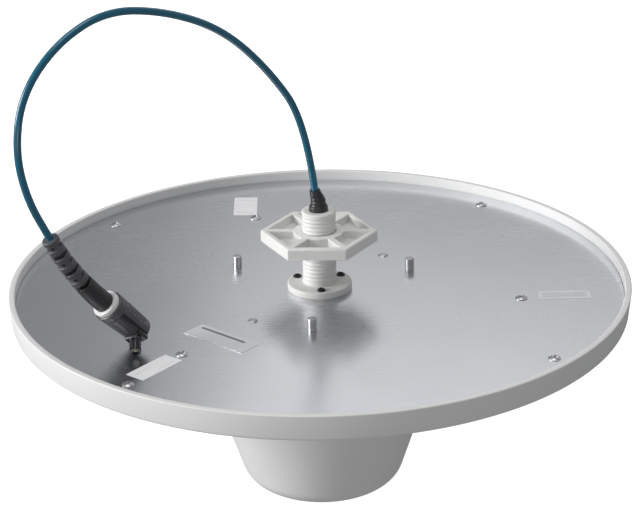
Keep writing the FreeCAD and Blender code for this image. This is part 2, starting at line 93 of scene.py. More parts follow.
# ---- radome's outline, in millimetres: (radius, height) -----------------------
rim_radius = 150.0
rim_draft = 1.2
rim_edge = 0.5
rim_foot_radius = 2.0
disc_depth = 12.75
lip_inside = 146.8
ledge_inside = 143.3
plate_under = -6.6
shell_wall = 2.5
dome_taper = 18.0
dome_root = (73.4, -20.75)      # middles of the outline's three arcs
dome_corner = (27.7, -93.5)
dome_crown = (0.0, -11.0)
dome_root_radius = 8.0
dome_corner_radius = 13.0
dome_crown_radius = 100.0

# ---- stud -------------------------------------------------------------------
flange_radius = 15.6 * MM
flange_thickness = 3.5 * MM
flange_edge = 0.8 * MM
flange_foot_edge = 0.3 * MM
flange_root = 0.7 * MM
stud_radius = 8.2 * MM
stud_bore = 4.6 * MM
stud_chamfer = 0.6 * MM
stud_end_edge = 0.15 * MM
thread_pitch = 2.0 * MM
thread_depth = 0.45 * MM
thread_fade = 2.5 * MM      # the thread dies out over this height at both ends
thread_rows = 12            # rows of points to a turn of thread
thread_crest = 1.6          # above 1, its crests are wider than its valleys

# ---- nut and washer: how far their edges are rounded ------------------------
nut_edge = 0.35 * MM
washer_edge = 0.2 * MM

# ---- fasteners: (radius, height) of heads, circles in metres, angles in degrees
plate_screw_head = (2.9 * MM, 1.1 * MM)
rim_screw_circle = 135.8 * MM
rim_screw_angle = 50.8
inner_screw_circle = 97.8 * MM
inner_screw_angle = -10.4
rivet_head_size = (2.6 * MM, 0.8 * MM)
rivet_circle = 50.0 * MM
rivet_angle = 50.5
flange_screw_head = (2.1 * MM, 1.3 * MM)
flange_screw_circle = 12.2 * MM
flange_screw_angle = 33.0
flange_screw_recess = 0.6       # share of the head's radius that its cross reaches
locating_stud_radius = 2.1 * MM
locating_stud_edge = 0.35 * MM
locating_stud_circle = 49.3 * MM
locating_stud_angle = 25.5

# ---- strain relief on the stud ---------------------------------------------
post_boot_radius = 4.55 * MM
post_boot_tip = 2.5 * MM
post_boot_sunk = 2.0 * MM       # how far it reaches down into the stud
post_boot_collar = 2.4 * MM
post_boot_step = 0.55 * MM
post_boot_grooves = 3
post_boot_groove_depth = 0.3 * MM
post_boot_grooved = 0.8         # share of the taper that has grooves
post_boot_pull = 0.45           # share of its reach over which each end keeps its lean

# ---- strain relief on the plug ----------------------------------------------
boot_length = 46.4 * MM
boot_turn = math.radians(17.74)
boot_radii = (3.9 * MM, 4.9 * MM)
boot_core_radius = 2.75 * MM
boot_links = 6
boot_link_pitch = 5.0 * MM
boot_link_width = 2.9 * MM
boot_link_edge = 0.55 * MM
boot_web_width = 2.6 * MM
boot_web_inset = 0.25 * MM      # from a link's outside to a web's
boot_web_root = 0.8             # share of the core's radius at which a web starts
boot_core_start = 0.4 * MM
boot_lip = 0.5 * MM

# ---- plug -------------------------------------------------------------------
elbow_to_sleeve = 10.9 * MM     # elbow's centre to the middle of the sleeve
ring_radius = 6.5 * MM
ring_length = 4.0 * MM
ring_cover = 1.6 * MM           # how far the barrel reaches up over the ring
plug_length = 18.6 * MM
plug_tail = 4.0 * MM
plug_top_radius = 7.4 * MM
plug_low_radius = 6.3 * MM
plug_edge = 1.2 * MM
plug_groove = 2.2 * MM          # from the ring's foot down to the groove
plug_groove_depth = 0.35 * MM
plug_groove_edge = 0.1 * MM
collar_radius = 4.2 * MM        # where the spigot's neck leaves the elbow
collar_start = 4.6 * MM
collar_end = 5.9 * MM
neck_radius = 2.75 * MM
neck_end = 7.9 * MM
grip_ribs = 7
grip_pitch = 1.9 * MM
grip_length = 7.0 * MM
grip_height = 0.45 * MM
grip_start = 1.0 * MM
grip_profile = (                # (along the barrel, share of the rib's height)
    (-0.55 * MM, -0.6), (-0.3 * MM, 0.75), (0, 1.0), (0.3 * MM, 0.75), (0.55 * MM, -0.6),
)
# A dark band down the barrel's front: painted shade, where the sheen on the barrel is darkest.
shade_band_angle = 38.0               # degrees round the barrel from the spigot
shade_band_spread = 13.0
shade_band_height = 0.12 * MM
shade_band_sunk = 0.4 * MM
shade_band_end = 2.8 * MM             # from the ring's foot down to the dark band's top
elbow_half_width = 4.5 * MM
elbow_reach = 6.8 * MM          # elbow's centre to the block's end on the spigot
elbow_back = 2.2 * MM
elbow_edge = 0.7 * MM

# ---- floor and surroundings -------------------------------------------------
floor_gap = 0.2 * MM
floor_size = 6
floor_glow = 0.8
sky_strength = 0.27


# ---- small tools ------------------------------------------------------------
def in_plane(out, height):
    return OUT * out + UP * height


def centre(node):
    low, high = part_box(node)
    return (Vector(low) + Vector(high)) / 2


def top_of(node):
    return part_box(node)[1][2]


def bottom_of(node):
    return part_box(node)[0][2]


def place(name, mesh, material):
    """A new object at the origin, with its place in its mesh."""
    piece = bpy.data.objects.new(name, mesh)
    bpy.context.scene.collection.objects.link(piece)
    mesh.materials.clear()
    mesh.materials.append(material)
    return piece


def shade(mesh, degrees=35.0):
    mesh.shade_smooth()
    mesh.set_sharp_from_angle(angle=math.radians(degrees))


def from_bmesh(name, bm, material, degrees=35.0):
    bmesh.ops.remove_doubles(bm, verts=bm.verts, dist=1e-6)
    bmesh.ops.recalc_face_normals(bm, faces=bm.faces)
    mesh = bpy.data.meshes.new(name)
    bm.to_mesh(mesh)
    bm.free()
    shade(mesh, degrees)
    return place(name, mesh, material)


def stands_for(piece, node, body="antenna"):
    """The piece takes over a node's place: it joins the given body and the node is hidden."""
    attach(piece, body)
    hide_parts(node)
    return piece


def rounded(corners, steps=5):
    """An outline through (radius, height, fillet) corners, as (radius, height)."""
    outline = []
    count = len(corners)
    for i, (r, z, fillet) in enumerate(corners):
        here = Vector((r, z))
        if fillet == 0 or i in (0, count - 1):
            outline.append(here)
            continue
        back = (Vector(corners[i - 1][:2]) - here).normalized()
        ahead = (Vector(corners[i + 1][:2]) - here).normalized()
        half = back.angle(ahead) / 2
        middle = here + (back + ahead).normalized() * fillet / math.sin(half)
        start = here + back * fillet / math.tan(half) - middle
        end = here + ahead * fillet / math.tan(half) - middle
        for k in range(steps + 1):
            spoke = start.slerp(end, k / steps)
            outline.append(middle + spoke.normalized() * fillet)
    return outline


def turned(bm, outline, sides=96, to=Matrix.Identity(4), shape=None):
    """Turns an outline about Z into bm. shape may change a point's radius."""
    rings = []
    for r, z in outline:
        ring = []
        for i in range(sides):
            a = math.tau * i / sides
            radius = shape(r, z, a) if shape else r
            ring.append(bm.verts.new(to @ Vector((radius * math.cos(a), radius * math.sin(a), z))))
            if r == 0:
                break
        rings.append(ring)
    for low, high in zip(rings, rings[1:]):
        for i in range(sides):
            face = [low[i % len(low)], low[(i + 1) % len(low)],
                    high[(i + 1) % len(high)], high[i % len(high)]]
            face = list(dict.fromkeys(face))
            if len(face) > 2:
                bm.faces.new(face)


def swept(bm, centres, radii, sides=48):
    """A round tube with flat ends through centres that lie in the pigtail's plane."""
    rings = []
    count = len(centres)
    for i, (middle, radius) in enumerate(zip(centres, radii)):
        before, after = centres[max(i - 1, 0)], centres[min(i + 1, count - 1)]
        side = ACROSS.cross((after - before).normalized())
        spokes = [ACROSS * math.cos(a) + side * math.sin(a)
                  for a in (math.tau * k / sides for k in range(sides))]
        rings.append([bm.verts.new(middle + spoke * radius) for spoke in spokes])
    for low, high in zip(rings, rings[1:]):
        for i in range(sides):
            j = (i + 1) % sides
            bm.faces.new([low[i], low[j], high[j], high[i]])
    bm.faces.new(rings[0])
    bm.faces.new(rings[-1])


def softened(node, material, width, body):
    """A merged copy of a node's mesh, with its hard edges rounded."""
    degrees = 30.0
    bm = bmesh.new()
    bm.from_mesh(nodes[node].data)
    bmesh.ops.remove_doubles(bm, verts=bm.verts, dist=2e-6)
    flat = math.radians(0.3)
    bmesh.ops.dissolve_limit(bm, angle_limit=flat, verts=bm.verts, edges=bm.edges)
    piece = from_bmesh(node + "_finished", bm, material, degrees)
    bevel = piece.modifiers.new("rounded edges", "BEVEL")
    bevel.width = width
    bevel.segments = 3
    bevel.limit_method = "ANGLE"
    bevel.angle_limit = math.radians(degrees)
    bevel.harden_normals = True
    return stands_for(piece, node, body)


# ---- materials --------------------------------------------------------------
class Finish:
    """A Principled material whose grain, marks and wear read Object coordinates."""

    def __init__(self, name, colour, roughness, metallic=0.0, **sockets):
        self.material = bpy.data.materials.new(name)
        self.material.use_nodes = True
        self.tree = self.material.node_tree
        self.shader = self.tree.nodes["Principled BSDF"]
        self.shader.inputs["Base Color"].default_value = (*colour, 1)
        self.shader.inputs["Roughness"].default_value = roughness
        self.shader.inputs["Metallic"].default_value = metallic
        for socket, value in sockets.items():
            self.shader.inputs[socket.replace("_", " ")].default_value = value
        self.colour = colour
        self.bump = None

    def add(self, kind, **settings):
        node = self.tree.nodes.new(kind)
        for name, value in settings.items():
            setattr(node, name, value)
        return node

    def link(self, output, socket):
        self.tree.links.new(output, socket)

    def coordinates(self, stretch=(1, 1, 1), turn=0.0, middle=(0, 0, 0)):
        """Object coordinates, moved to a middle, turned about Z and stretched."""
        source = self.add("ShaderNodeTexCoord").outputs["Object"]
        moved = self.add("ShaderNodeMapping", vector_type="TEXTURE")
        moved.inputs["Location"].default_value = middle
        moved.inputs["Rotation"].default_value = (0, 0, math.radians(turn))
        self.link(source, moved.inputs["Vector"])
        scaled = self.add("ShaderNodeMapping")
        scaled.inputs["Scale"].default_value = stretch
        self.link(moved.outputs["Vector"], scaled.inputs["Vector"])
        return scaled.outputs["Vector"]

    def noise(self, scale, detail=2.0, stretch=(1, 1, 1)):
        noise = self.add("ShaderNodeTexNoise")
        noise.inputs["Scale"].default_value = scale
        noise.inputs["Detail"].default_value = detail
        self.link(self.coordinates(stretch), noise.inputs["Vector"])
        return noise.outputs["Fac"]

    def ranged(self, value, low, high, start=0.3, end=0.7):
        node = self.add("ShaderNodeMapRange", interpolation_type="SMOOTHSTEP")
        for socket, number in zip(("From Min", "From Max", "To Min", "To Max"),
                                  (start, end, low, high)):
            node.inputs[socket].default_value = number
        self.link(value, node.inputs["Value"])
        return node.outputs["Result"]

    def between(self, share, first, second):
        """A colour between two, by share. Either may be a colour or an output.
        The Mix node's colours are its inputs 6 and 7 and its output 2."""
        mix = self.add("ShaderNodeMix", data_type="RGBA")
        self.link(share, mix.inputs["Factor"])
        for socket, value in ((mix.inputs[6], first), (mix.inputs[7], second)):
            if isinstance(value, tuple):
                socket.default_value = (*value, 1)
            else:
                self.link(value, socket)
        return mix.outputs[2]

    def tinted(self, scale, other, detail=3.0, stretch=(1, 1, 1)):
        """Slow drifts of colour, as in a moulding or on handled metal."""
        share = self.ranged(self.noise(scale, detail, stretch), 0, 1)
        self.painted(self.between(share, self.colour, other))
        return self

    def painted(self, colour):
        self.paint = colour
        self.link(colour, self.shader.inputs["Base Color"])
        return self

    def patchy(self, scale, low, high, detail=4.0, stretch=(1, 1, 1)):
        """Roughness that varies from place to place."""
        value = self.ranged(self.noise(scale, detail, stretch), low, high)
        self.link(value, self.shader.inputs["Roughness"])
        return self

    def grained(self, scale, strength, distance, detail=2.0, stretch=(1, 1, 1)):
        """Relief from fine noise, over any relief already there."""
        bump = self.add("ShaderNodeBump")
        bump.inputs["Strength"].default_value = strength
        bump.inputs["Distance"].default_value = distance
        self.link(self.noise(scale, detail, stretch), bump.inputs["Height"])
        if self.bump:
            self.link(self.bump, bump.inputs["Normal"])
        self.bump = bump.outputs["Normal"]
        self.link(self.bump, self.shader.inputs["Normal"])
        return self


def moulded_white(name, colour, shadow, roughness):
    finish = Finish(name, colour, roughness)
    finish.tinted(14, shadow)
    finish.patchy(60, roughness - 0.05, roughness + 0.07)
    finish.grained(2600, 0.22, 0.00004)
    return finish.grained(35, 0.06, 0.0004)


def brushed_aluminium():
    """Sheet with a fine straight brushing across, and faint handling marks."""
    finish = Finish("plate_aluminium", (0.73, 0.74, 0.775), 0.27, 1.0)
    finish.tinted(5, (0.69, 0.70, 0.735), 3.0)
    lines = finish.noise(90, 3.0, (1, 26, 1))
    marks = finish.noise(11, 5.0)
    both = finish.add("ShaderNodeMath", operation="MULTIPLY")
    finish.link(finish.ranged(lines, 0.94, 1.06), both.inputs[0])
    finish.link(finish.ranged(marks, 0.24, 0.28, 0.3, 0.75), both.inputs[1])
    finish.link(both.outputs[0], finish.shader.inputs["Roughness"])
    finish.grained(90, 0.02, 0.00005, 3.0, (1, 26, 1))
    return finish


def spun_aluminium():
    finish = Finish("spun_aluminium", (0.70, 0.71, 0.72), 0.38, 1.0)
    finish.tinted(20, (0.62, 0.63, 0.64))
    finish.patchy(45, 0.32, 0.46)
    return finish.grained(160, 0.1, 0.0001, 2.0, (0.2, 0.2, 8))


def plated_steel(name, colour, other, low, high):
    finish = Finish(name, colour, low, 1.0)
    finish.tinted(300, other)
    finish.patchy(500, low, high)
    return finish.grained(900, 0.04, 0.00002)


def black_rubber(name, colour, other):
    finish = Finish(name, colour, 0.36, Specular_IOR_Level=0.6)
    finish.tinted(120, other)
    finish.patchy(260, 0.32, 0.46)
    return finish.grained(2400, 0.2, 0.00004)


def black_plastic(name, colour, other):
    finish = Finish(name, colour, 0.26, Specular_IOR_Level=0.6)
    finish.tinted(160, other)
    finish.patchy(220, 0.2, 0.32)
    return finish.grained(1900, 0.14, 0.00003)


def cable_jacket():
    """Smooth extruded jacket: deep blue, with slow drifts of tone, patchy gloss and a fine grain."""
    finish = Finish("cable_blue", (0.008, 0.135, 0.225), 0.24, Coat_Weight=0.3,
                    Coat_Roughness=0.15)
    finish.tinted(60, (0.006, 0.115, 0.195), 2.0)
    finish.patchy(140, 0.18, 0.28)
    return finish.grained(1200, 0.08, 0.00003)


def turned_brass(name, colour, other):
    finish = Finish(name, colour, 0.25, 1.0)
    finish.tinted(400, other)
    return finish.patchy(600, 0.2, 0.34)


def natural_ptfe():
    finish = Finish("natural_ptfe", (0.84, 0.83, 0.80), 0.45, Subsurface_Weight=0.1,
                    Subsurface_Scale=0.001)
    finish.tinted(300, (0.80, 0.79, 0.75))
    return finish.grained(2000, 0.1, 0.00003)


def cradle_grey():
    finish = Finish("cradle_grey", (0.42, 0.43, 0.44), 0.5)
    finish.tinted(60, (0.37, 0.38, 0.39))
    return finish.grained(2200, 0.2, 0.00004)


def printed(finish, node, turn, bars):
    """Prints plain bars on a label: (along, across, length, width) in millimetres
    from the label's middle, each in its colour. Most are print; the pale bar on the rating label is a painted
    highlight along its top edge. Nothing is lettered."""
    middle = centre(node)
    where = finish.coordinates(turn=turn, middle=tuple(middle))
    split = finish.add("ShaderNodeSeparateXYZ")
    finish.link(where, split.inputs["Vector"])
    colour = finish.paint
    for along, across, length, width, ink in bars:
        share = None
        for axis, place_mm, size_mm in (("X", along, length), ("Y", across, width)):
            away = finish.add("ShaderNodeMath", operation="SUBTRACT")
            finish.link(split.outputs[axis], away.inputs[0])
            away.inputs[1].default_value = place_mm * MM
            size = finish.add("ShaderNodeMath", operation="ABSOLUTE")
            finish.link(away.outputs[0], size.inputs[0])
            half = size_mm * MM / 2
            inside = finish.ranged(size.outputs[0], 1, 0, half - 0.15 * MM, half + 0.15 * MM)
            if share is None:
                share = inside
            else:
                both = finish.add("ShaderNodeMath", operation="MULTIPLY")
                finish.link(share, both.inputs[0])
                finish.link(inside, both.inputs[1])
                share = both.outputs[0]
        colour = finish.between(share, colour, ink)
    finish.painted(colour)
    return finish


def label_stock(name, colour, other, roughness, metallic=0.0):
    finish = Finish(name, colour, roughness, metallic)
    finish.tinted(120, other)
    finish.patchy(150, roughness - 0.04, roughness + 0.06)
    return finish.grained(900, 0.05, 0.00003)


radome_white = moulded_white("radome_white", (0.80, 0.80, 0.79), (0.77, 0.77, 0.765), 0.42)
stud_white = moulded_white("stud_white", (0.80, 0.795, 0.775), (0.765, 0.76, 0.74), 0.40)
ring_white = moulded_white("ring_white", (0.84, 0.84, 0.83), (0.81, 0.81, 0.80), 0.30)
plate_aluminium = brushed_aluminium()
bright_steel = plated_steel("bright_steel", (0.60, 0.60, 0.61), (0.50, 0.50, 0.52), 0.34, 0.46)
dark_steel = plated_steel("dark_steel", (0.075, 0.075, 0.08), (0.05, 0.05, 0.055), 0.3, 0.45)
boot_black = black_rubber("boot_black", (0.016, 0.016, 0.018), (0.024, 0.024, 0.027))
# A lighter copy of the boot's black rubber, used for its rings: painted light, standing in for the lit faces of
# the rings.
boot_painted_lit = black_rubber("boot_painted_lit", (0.075, 0.075, 0.08), (0.09, 0.09, 0.095))
plug_black = black_plastic("plug_black", (0.006, 0.007, 0.009), (0.011, 0.012, 0.014))
# A lighter copy of the plug's black plastic, used for the barrel and its ribs: painted light, standing in for the
# sheen on the barrel's lit sides.
plug_painted_lit = black_plastic("plug_painted_lit", (0.075, 0.075, 0.08), (0.09, 0.09, 0.095))
cable_blue = cable_jacket()
finishes = {
    "radome_white": radome_white, "stud_white": stud_white, "ring_white": ring_white,
    "plate_aluminium": plate_aluminium, "bright_steel": bright_steel,
    "dark_steel": dark_steel, "boot_black": boot_black, "plug_black": plug_black,
    "cable_blue": cable_blue, "spun_aluminium": spun_aluminium(),
    "brass": turned_brass("brass", (0.72, 0.53, 0.26), (0.62, 0.44, 0.2)),
    "gold_contact": turned_brass("gold_contact", (0.85, 0.62, 0.28), (0.75, 0.52, 0.2)),
    "natural_ptfe": natural_ptfe(), "cradle_grey": cradle_grey(),
}
for node, slot in slots.items():
    if slot in finishes:
        nodes[node].data.materials.clear()
        nodes[node].data.materials.append(finishes[slot].material)


# ---- camera and pigtail -----------------------------------------------------
def make_camera():
    lens = bpy.data.cameras.new("camera")
    lens.sensor_width = view_sensor
    lens.lens = view_lens
    lens.shift_x, lens.shift_y = view_shift
    lens.clip_start = 0.05
    camera = bpy.data.objects.new("camera", lens)
    a = math.radians(view_elevation)
    camera.location = Vector((0, -math.cos(a), math.sin(a))) * view_distance
    aim = Matrix.Rotation(math.pi / 2 - a, 4, "X")
    roll = Matrix.Rotation(math.radians(view_roll), 4, "Z")
    camera.rotation_euler = (aim @ roll).to_euler()
    bpy.context.scene.collection.objects.link(camera)
    bpy.context.scene.camera = camera


def make_pigtail():
    curve = bpy.data.curves.new("pigtail", "CURVE")
    curve.dimensions = "3D"
    curve.bevel_depth = pigtail_diameter / 2
    curve.bevel_resolution = 8
    curve.resolution_u = 24
    curve.use_fill_caps = True
    spline = curve.splines.new("NURBS")
    spline.points.add(len(pigtail_route))
    for point, (out, height) in zip(spline.points, pigtail_route + [pigtail_end]):
        point.co = (*(in_plane(out, height) * MM), 1)
    spline.order_u = 3
    spline.use_endpoint_u = True
    curve.materials.append(cable_blue.material)
    pigtail = bpy.data.objects.new("pigtail", curve)
    bpy.context.scene.collection.objects.link(pigtail)
    return stands_for(pigtail, "pigtail_cable")


make_camera()
pigtail = make_pigtail()


# ---- patterns of repeated pieces -------------------------------------------
def start_tree(name, inputs):
    """A node tree with named inputs. Returns it, its input node and its output."""
    tree = bpy.data.node_groups.new(name, "GeometryNodeTree")
    for label, kind, value in inputs:
        socket = tree.interface.new_socket(label, in_out="INPUT", socket_type="NodeSocket" + kind)
        if value is not None:
            socket.default_value = value
    tree.interface.new_socket("Geometry", in_out="OUTPUT", socket_type="NodeSocketGeometry")
    return tree, tree.nodes.new("NodeGroupInput"), tree.nodes.new("NodeGroupOutput")


def finish_tree(tree, given, result, instances):
    """Realizes the instances and gives them their material."""
    real = tree.nodes.new("GeometryNodeRealizeInstances")
    coat = tree.nodes.new("GeometryNodeSetMaterial")
    tree.links.new(instances, real.inputs["Geometry"])
    tree.links.new(real.outputs["Geometry"], coat.inputs["Geometry"])
    tree.links.new(given.outputs["Material"], coat.inputs["Material"])
    tree.links.new(coat.outputs["Geometry"], result.inputs["Geometry"])


def piece_on_points(tree, given, points):
    """Instances the tree's Piece on points, and returns the instancing node."""
    link = tree.links.new
    piece = tree.nodes.new("GeometryNodeObjectInfo")
    piece.inputs["As Instance"].default_value = True
    link(given.outputs["Piece"], piece.inputs["Object"])
    spread = tree.nodes.new("GeometryNodeInstanceOnPoints")
    link(points, spread.inputs["Points"])
    link(piece.outputs["Geometry"], spread.inputs["Instance"])
    return spread


def circle_tree():
    """A piece repeated round a circle, each turned by a chance angle."""
    tree, given, result = start_tree("fasteners_on_a_circle", [
        ("Piece", "Object", None), ("Material", "Material", None), ("Count", "Int", 3),
        ("Circle radius", "Float", 0.1), ("First angle", "Float", 0.0),
        ("Height", "Float", 0.0), ("Seed", "Int", 1)])
    link, new = tree.links.new, tree.nodes.new
    index = new("GeometryNodeInputIndex")
    share = new("ShaderNodeMath")
    share.operation = "DIVIDE"
    link(index.outputs["Index"], share.inputs[0])
    link(given.outputs["Count"], share.inputs[1])
    angle = new("ShaderNodeMath")
    angle.operation = "MULTIPLY_ADD"
    angle.inputs[1].default_value = math.tau
    link(share.outputs[0], angle.inputs[0])
    link(given.outputs["First angle"], angle.inputs[2])
    arm = new("ShaderNodeCombineXYZ")
    link(given.outputs["Circle radius"], arm.inputs["X"])
    link(given.outputs["Height"], arm.inputs["Z"])
    round_axis = new("ShaderNodeVectorRotate")
    round_axis.rotation_type = "Z_AXIS"
    link(arm.outputs["Vector"], round_axis.inputs["Vector"])
    link(angle.outputs[0], round_axis.inputs["Angle"])
    points = new("GeometryNodePoints")
    link(given.outputs["Count"], points.inputs["Count"])
    link(round_axis.outputs["Vector"], points.inputs["Position"])
    chance = new("FunctionNodeRandomValue")
    chance.data_type = "FLOAT_VECTOR"
    chance.inputs[0].default_value = (0, 0, 0)
    chance.inputs[1].default_value = (0, 0, math.tau)
    link(given.outputs["Seed"], chance.inputs["Seed"])
    spread = piece_on_points(tree, given, points.outputs[0])
    link(chance.outputs[0], spread.inputs["Rotation"])
    finish_tree(tree, given, result, spread.outputs["Instances"])
    return tree


def row_tree():
    """A piece repeated along a path, growing from one end to the other, each
    turned a step further about the path than the one before."""
    tree, given, result = start_tree("pieces_along_a_path", [
        ("Piece", "Object", None), ("Material", "Material", None), ("Path", "Object", None),
        ("Count", "Int", 6), ("Start scale", "Float", 1.0), ("End scale", "Float", 1.0),
        ("Turn", "Float", 0.0)])
    link, new = tree.links.new, tree.nodes.new
    path = new("GeometryNodeObjectInfo")
    link(given.outputs["Path"], path.inputs["Object"])
    points = new("GeometryNodeCurveToPoints")
    link(path.outputs["Geometry"], points.inputs["Curve"])
    link(given.outputs["Count"], points.inputs["Count"])
    index = new("GeometryNodeInputIndex")
    step = new("ShaderNodeMath")
    step.operation = "MULTIPLY"
    link(index.outputs["Index"], step.inputs[0])
    link(given.outputs["Turn"], step.inputs[1])
    about = new("FunctionNodeAxisAngleToRotation")
    link(step.outputs[0], about.inputs["Angle"])
    turned_on = new("FunctionNodeRotateRotation")
    turned_on.rotation_space = "LOCAL"
    link(points.outputs["Rotation"], turned_on.inputs["Rotation"])
    link(about.outputs["Rotation"], turned_on.inputs["Rotate By"])
    last = new("ShaderNodeMath")
    last.operation = "SUBTRACT"
    last.inputs[1].default_value = 1
    link(given.outputs["Count"], last.inputs[0])
    grow = new("ShaderNodeMapRange")
    link(index.outputs["Index"], grow.inputs["Value"])
    link(last.outputs[0], grow.inputs["From Max"])
    link(given.outputs["Start scale"], grow.inputs["To Min"])
    link(given.outputs["End scale"], grow.inputs["To Max"])
    size = new("ShaderNodeCombineXYZ")
    size.inputs["Z"].default_value = 1
    link(grow.outputs["Result"], size.inputs["X"])
    link(grow.outputs["Result"], size.inputs["Y"])
    spread = piece_on_points(tree, given, points.outputs["Points"])
    link(turned_on.outputs["Rotation"], spread.inputs["Rotation"])
    link(size.outputs["Vector"], spread.inputs["Scale"])
    finish_tree(tree, given, result, spread.outputs["Instances"])
    return tree


def repeated(name, tree, piece, material, spare=(), **values):
    """Runs a tree with these inputs and keeps the result as a plain mesh."""
    holder = place(name + "_maker", bpy.data.meshes.new(name + "_maker"), material)
    maker = holder.modifiers.new("pattern", "NODES")
    maker.node_group = tree
    sockets = {item.name: item.identifier for item in tree.interface.items_tree
               if item.item_type == "SOCKET" and item.in_out == "INPUT"}
    values |= {"Piece": piece, "Material": material}
    for label, value in values.items():
        maker[sockets[label.replace("_", " ")]] = value
    bpy.context.view_layer.update()
    graph = bpy.context.evaluated_depsgraph_get()
    mesh = bpy.data.meshes.new_from_object(holder.evaluated_get(graph))
    for used in (holder, piece, *spare):
        bpy.data.objects.remove(used)
    mesh.name = name
    shade(mesh)
    return place(name, mesh, material)


on_a_circle = circle_tree()
along_a_path = row_tree()


# ---- fasteners --------------------------------------------------------------
def screw_head(name, size, material, recess=0.5):
    """A pan head with a cross recess, seated at the origin."""
    radius, height = size
    bm = bmesh.new()
    edge = 0.3 * height
    outline = rounded([(0, height, 0), (radius * 0.55, height, radius * 0.6),
                       (radius, edge, edge), (radius, 0, 0), (0, 0, 0)], 6)
    face = [Vector((radius * share, height)) for share in (0, 0.12, 0.2, 0.32, 0.45)]
    turned(bm, face + outline[1:], 48)
    arm_reach = radius * recess
    arm_half_width = radius * 0.15
    recess_floor = height * 0.55
    for vert in bm.verts:
        x, y, z = vert.co
        in_arm = min(abs(x), abs(y)) < arm_half_width and max(abs(x), abs(y)) < arm_reach
        if in_arm and z > height * 0.6:
            vert.co.z -= recess_floor
    return from_bmesh(name, bm, material, 25)


def rivet_head(name, size, material):
    radius, height = size
    bm = bmesh.new()
    outline = rounded([(0, height, 0), (radius * 0.7, height, radius * 0.5),
                       (radius, 0, 0), (0, 0, 0)], 8)
    turned(bm, outline, 40)
    return from_bmesh(name, bm, material)


def locating_stud():
    bm = bmesh.new()
    height = top_of("locating_studs") - plate_top
    outline = rounded([(0, height, 0), (locating_stud_radius, height, locating_stud_edge),
                       (locating_stud_radius, 0, 0), (0, 0, 0)], 4)
    turned(bm, outline, 48)
    return from_bmesh("locating_stud", bm, steel)


def set_round(node, piece, material, count, circle, angle, height, seed):
    """A node's fasteners, set round a circle on the antenna's axis."""
    made = repeated(node.removesuffix("s") + "_set", on_a_circle, piece, material, Count=count,
                    Circle_radius=circle, First_angle=math.radians(angle), Height=height,
                    Seed=seed)
    return stands_for(made, node)


plate_top = top_of("ground_plate")
flange_top = bottom_of("mounting_stud") + flange_thickness
steel = bright_steel.material
dark = dark_steel.material
set_round("rim_screws", screw_head("rim_screw", plate_screw_head, steel), steel,
          4, rim_screw_circle, rim_screw_angle, plate_top, seed=3)
set_round("inner_screws", screw_head("inner_screw", plate_screw_head, steel), steel,
          3, inner_screw_circle, inner_screw_angle, plate_top, seed=5)
set_round("cradle_rivets", rivet_head("cradle_rivet", rivet_head_size, steel), steel,
          2, rivet_circle, rivet_angle, plate_top, seed=1)
set_round("flange_screws",
          screw_head("flange_screw", flange_screw_head, dark, flange_screw_recess), dark,
          3, flange_screw_circle, flange_screw_angle, flange_top, seed=2)
set_round("locating_studs", locating_stud(), steel,
          3, locating_stud_circle, locating_stud_angle, plate_top, seed=4)


# ---- radome, stud, nut and washer -------------------------------------------
def swing(middle, radius, start, end, steps=14):
    """Points of an arc, in degrees, round a (radius, height) middle."""
    angles = [math.radians(start + (end - start) * i / steps) for i in range(steps + 1)]
    return [Vector(middle) + Vector((math.cos(a), math.sin(a))) * radius for a in angles]


def dome_side(inset):
    """The dome from its root to its lowest point, this far inside its surface."""
    lean = math.degrees(math.atan2(dome_crown[1] - dome_corner[1], dome_corner[0]))
    root = swing(dome_root, dome_root_radius + inset, 90, 180 - dome_taper)
    corner = swing(dome_corner, dome_corner_radius - inset, -dome_taper, -lean)
    return root + corner + swing(dome_crown, dome_crown_radius - inset, -lean, -90)


def make_radome():
    """The disc's rim and floor and the dome under it, in one moulding. The outline is
    in millimetres, from the lowest point up the outside and back down the inside."""
    outside = [(p.x, p.y, 0) for p in reversed(dome_side(0))]
    inside = [(p.x, p.y, 0) for p in dome_side(shell_wall)]
    rim = [(rim_radius - rim_draft, -disc_depth, rim_foot_radius), (rim_radius, 0, rim_edge),
           (lip_inside, 0, rim_edge), (lip_inside, plate_under, 0),
           (ledge_inside, plate_under, 0), (ledge_inside, shell_wall - disc_depth, 0)]
    outline = [point * MM for point in rounded(outside + rim + inside)]
    bm = bmesh.new()
    turned(bm, outline, 256)
    radome = from_bmesh("radome_shell", bm, radome_white.material, 40)
    return stands_for(radome, "radome")


make_radome()
softened("clamp_nut", stud_white.material, nut_edge, "nut")
softened("nut_washer", stud_white.material, washer_edge, "washer")


def thread_share(z, low, high):
    """0 at the thread's ends and 1 along its length."""
    return max(0.0, min(1.0, (z - low) / thread_fade, (high - z) / thread_fade))


def make_stud():
    bottom, top = bottom_of("mounting_stud"), top_of("mounting_stud")
    thread_low = flange_top + flange_root
    thread_high = top - stud_chamfer
    rows = round((thread_high - thread_low) / thread_pitch * thread_rows)
    shank = [(stud_radius, thread_low + (thread_high - thread_low) * i / rows)
             for i in range(1, rows)]
    flange = rounded([(stud_bore, bottom, 0), (flange_radius, bottom, flange_foot_edge),
                      (flange_radius, flange_top, flange_edge),
                      (stud_radius, flange_top, flange_root), (stud_radius, thread_low, 0)], 6)
    end = rounded([(stud_radius, thread_high, 0),
                   (stud_radius - stud_chamfer, top, stud_end_edge),
                   (stud_bore, top, stud_end_edge), (stud_bore, bottom, 0)])

    def threaded(r, z, a):
        if abs(r - stud_radius) > 1e-7 or not thread_low < z < thread_high:
            return r
        phase = (z / thread_pitch - a / math.tau) % 1.0
        valley = 0.5 - 0.5 * math.cos(math.tau * phase)
        return r - thread_depth * valley ** thread_crest * thread_share(z, thread_low, thread_high)

    bm = bmesh.new()
    turned(bm, flange + shank + end, 120, shape=threaded)
    stud = from_bmesh("threaded_stud", bm, stud_white.material, 50)
    return stands_for(stud, "mounting_stud")


make_stud()


